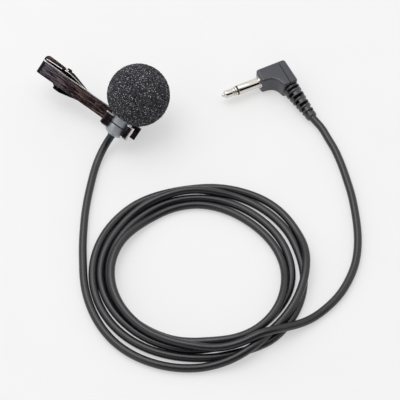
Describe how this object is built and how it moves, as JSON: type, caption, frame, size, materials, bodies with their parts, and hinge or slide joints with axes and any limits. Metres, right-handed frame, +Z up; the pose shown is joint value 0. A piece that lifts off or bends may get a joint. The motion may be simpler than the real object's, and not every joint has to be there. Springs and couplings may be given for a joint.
{
  "type": "lavalier microphone",
  "caption": "Clip-on lavalier microphone with a round foam windscreen, a sprung metal clip, a coiled cord and an angled jack plug.",
  "frame": {"origin": "on the table, under the middle of the microphone and clip's bounding box", "axes": "+Z up from the table, +X along the microphone and clip's longest extent, towards the plug; the microphone's own axis points 46.1 degrees from +X towards +Y and rises 35.6 degrees"},
  "size_m": [0.1078, 0.1141, 0.0252],
  "materials": {
    "foam": "open-cell foam",
    "body": "satin grey",
    "darkmetal": "black nickel, streaky",
    "steel": "bright",
    "chrome": "polished nickel",
    "brass": "plain",
    "black": "plain",
    "plastic": "satin dark grey",
    "cord": "satin jacket",
    "boot": "moulded",
    "felt": "felt",
    "board": "circuit board",
    "copper": "copper",
    "red": "wire insulation"
  },
  "bodies": {
    "microphone": {"rear_cap": "body", "front_barrel": "body", "head_grille": "steel", "cord_gland": "black", "acoustic_felt": "felt", "cord_crimp": "brass", "capsule_diaphragm": "brass", "capsule_spacer": "plastic", "capsule_backplate": "brass", "capsule_holder": "plastic", "capsule_jfet": "black", "capsule_board": "board", "capsule_gasket": "black", "capsule_can": "steel", "solder_signal": "steel", "solder_ground": "steel", "signal_wire": "red", "shield_wire": "copper", "cord_mic_end": "cord", "cord_coil": "cord", "cord_plug_end": "cord", "plug_tip": "chrome", "plug_insulator": "black", "plug_sleeve": "chrome", "plug_rear_insulator": "black", "plug_housing": "plastic", "plug_end_cap": "plastic", "tip_lug": "brass", "sleeve_lug": "brass", "plug_signal_wire": "red", "plug_shield_wire": "copper", "strain_relief": "boot"},
    "windscreen": {"foam_windscreen": "foam"},
    "clip": {"clip_clamp": "darkmetal", "clamp_rivet": "steel", "clip_bar": "darkmetal", "pivot_pin": "steel", "torsion_spring": "copper"},
    "jaw": {"lower_jaw": "darkmetal"}
  },
  "joints": [
    {"name": "windscreen_slide", "type": "slide", "parent": "microphone", "child": "windscreen", "axis": [0.5638, 0.5859, 0.5821], "range_m": [0, 0.014]},
    {"name": "clip_swivel", "type": "hinge", "parent": "microphone", "child": "clip", "pos_m": [0.00551, -0.01005, 0.00774], "axis": [0.5638, 0.5859, 0.5821], "range_deg": [-20, 150]},
    {"name": "jaw_open", "type": "hinge", "parent": "clip", "child": "jaw", "pos_m": [-0.01392, 0.00682, 0.00958], "axis": [0.5638, 0.5859, 0.5821], "range_deg": [0, 18], "stiffness_Nm_per_rad": 0.02, "springref_deg": -34.38, "deforming": ["torsion_spring"]}
  ]
}
